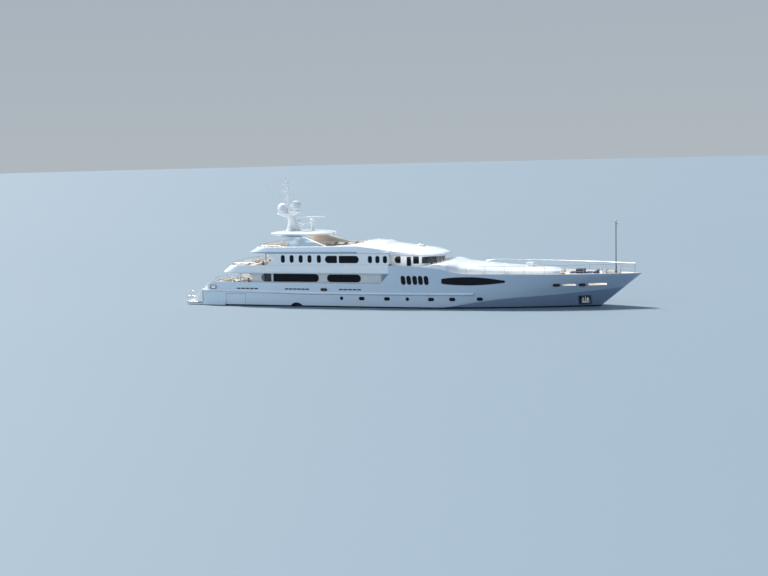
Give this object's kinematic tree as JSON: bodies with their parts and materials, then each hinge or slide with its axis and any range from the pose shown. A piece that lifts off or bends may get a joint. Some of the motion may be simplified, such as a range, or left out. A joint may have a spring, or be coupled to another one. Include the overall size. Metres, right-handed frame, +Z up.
{
  "type": "scale model of a motor yacht, 1:2",
  "caption": "Half-size model of a three-deck displacement motor yacht afloat: raked bow, arch with hardtop and mast, swim platform, twin screws.",
  "frame": {"origin": "on the centreline, at the waterline, halfway between the bow's tip and the swim platform's aft edge", "axes": "+X to the bow, +Y to port, +Z up"},
  "size_m": [27.275, 4.9034, 9.6194],
  "materials": {
    "hull_paint": "gloss",
    "house_paint": "gloss",
    "white_plastic": "satin",
    "tinted_glass": "gloss",
    "stainless_steel": "polished",
    "bronze": "satin",
    "dark_paint": "satin",
    "teak": "matte",
    "cream_fabric": "matte",
    "navy_fabric": "matte"
  },
  "bodies": {
    "root": {"hull": "hull_paint", "swim_platform": "hull_paint", "main_deckhouse": "house_paint", "bridge_deck": "house_paint", "upper_deckhouse": "house_paint", "lounge_bulkhead": "house_paint", "wheelhouse": "house_paint", "wheelhouse_glazing": "tinted_glass", "helm_console": "dark_paint", "sun_deck": "house_paint", "wheelhouse_roof": "house_paint", "foredeck_trunk": "house_paint", "hardtop": "house_paint", "mast": "house_paint", "satellite_dome_aft": "white_plastic", "satellite_dome_forward": "white_plastic", "radar_pedestal": "white_plastic", "pole_mast": "house_paint", "jackstaff": "dark_paint", "bridge_deck_rail": "stainless_steel", "sun_deck_rail": "stainless_steel", "transom_rail": "stainless_steel", "aft_sofa": "cream_fabric", "aft_table": "teak", "bridge_deck_sofa": "cream_fabric", "bridge_deck_table": "teak", "foredeck_lounge": "navy_fabric", "saloon_glazing_starboard": "tinted_glass", "saloon_glazing_port": "tinted_glass", "upper_glazing_starboard": "tinted_glass", "upper_glazing_port": "tinted_glass", "arch_leg_starboard": "house_paint", "arch_leg_port": "house_paint", "foredeck_rail_starboard": "stainless_steel", "foredeck_rail_port": "stainless_steel", "platform_rail_starboard": "stainless_steel", "platform_rail_port": "stainless_steel", "anchor_starboard": "stainless_steel", "anchor_port": "stainless_steel", "shaft_strut_starboard": "bronze", "shaft_strut_port": "bronze", "engine_starboard": "dark_paint", "engine_port": "dark_paint"},
    "starboard_screw": {"propeller_starboard": "bronze"},
    "port_screw": {"propeller_port": "bronze"},
    "starboard_rudder": {"rudder_starboard": "hull_paint"},
    "port_rudder": {"rudder_port": "hull_paint"},
    "starboard_fin": {"stabiliser_fin_starboard": "hull_paint"},
    "port_fin": {"stabiliser_fin_port": "hull_paint"},
    "radar_bar": {"radar_scanner": "white_plastic"},
    "starboard_side_door": {"wheelhouse_door_starboard": "stainless_steel"},
    "port_side_door": {"wheelhouse_door_port": "stainless_steel"},
    "main_deck_door": {"saloon_door": "stainless_steel"},
    "bridge_deck_door": {"lounge_door": "stainless_steel"},
    "starboard_shell_door": {"shell_door_starboard": "hull_paint"},
    "port_shell_door": {"shell_door_port": "hull_paint"},
    "stern_door": {"transom_door": "hull_paint"}
  },
  "joints": [
    {"name": "starboard_screw_turn", "type": "hinge", "parent": "root", "child": "starboard_screw", "pos_m": [-10.15, -0.95, -1.1], "axis": [0.9988, 0, 0.0499], "continuous": true},
    {"name": "port_screw_turn", "type": "hinge", "parent": "root", "child": "port_screw", "pos_m": [-10.15, 0.95, -1.1], "axis": [0.9988, 0, 0.0499], "continuous": true},
    {"name": "starboard_rudder_turn", "type": "hinge", "parent": "root", "child": "starboard_rudder", "pos_m": [-10.95, -0.95, -0.7], "axis": [0, 0, 1], "range_deg": [-35, 35]},
    {"name": "port_rudder_turn", "type": "hinge", "parent": "root", "child": "port_rudder", "pos_m": [-10.95, 0.95, -0.7], "axis": [0, 0, 1], "range_deg": [-35, 35]},
    {"name": "starboard_fin_turn", "type": "hinge", "parent": "root", "child": "starboard_fin", "pos_m": [0.75, -2.075, -0.645], "axis": [0, -0.6, -0.8], "range_deg": [-20, 20]},
    {"name": "port_fin_turn", "type": "hinge", "parent": "root", "child": "port_fin", "pos_m": [0.75, 2.075, -0.645], "axis": [0, 0.6, -0.8], "range_deg": [-20, 20]},
    {"name": "radar_turn", "type": "hinge", "parent": "root", "child": "radar_bar", "pos_m": [-5.96, 0, 5.1], "axis": [0, 0, 1], "continuous": true},
    {"name": "starboard_side_door_slide", "type": "slide", "parent": "root", "child": "starboard_side_door", "axis": [-1, 0, 0], "range_m": [0, 0.4]},
    {"name": "port_side_door_slide", "type": "slide", "parent": "root", "child": "port_side_door", "axis": [-1, 0, 0], "range_m": [0, 0.4]},
    {"name": "main_deck_door_slide", "type": "slide", "parent": "root", "child": "main_deck_door", "axis": [0, 1, 0], "range_m": [0, 0.6]},
    {"name": "bridge_deck_door_slide", "type": "slide", "parent": "root", "child": "bridge_deck_door", "axis": [0, 1, 0], "range_m": [0, 0.6]},
    {"name": "starboard_shell_door_fold", "type": "hinge", "parent": "root", "child": "starboard_shell_door", "pos_m": [-10.158, -2.278, 0.0754], "axis": [1, 0, 0], "range_deg": [0, 90]},
    {"name": "port_shell_door_fold", "type": "hinge", "parent": "root", "child": "port_shell_door", "pos_m": [-10.158, 2.278, 0.0754], "axis": [-1, 0, 0], "range_deg": [0, 90]},
    {"name": "stern_door_lift", "type": "hinge", "parent": "root", "child": "stern_door", "pos_m": [-12.35, 0, 0.7796], "axis": [0, 1, 0], "range_deg": [0, 85]}
  ],
  "couplings": [
    {"joint": "port_rudder_turn", "follows": "starboard_rudder_turn", "ratio": 1}
  ]
}
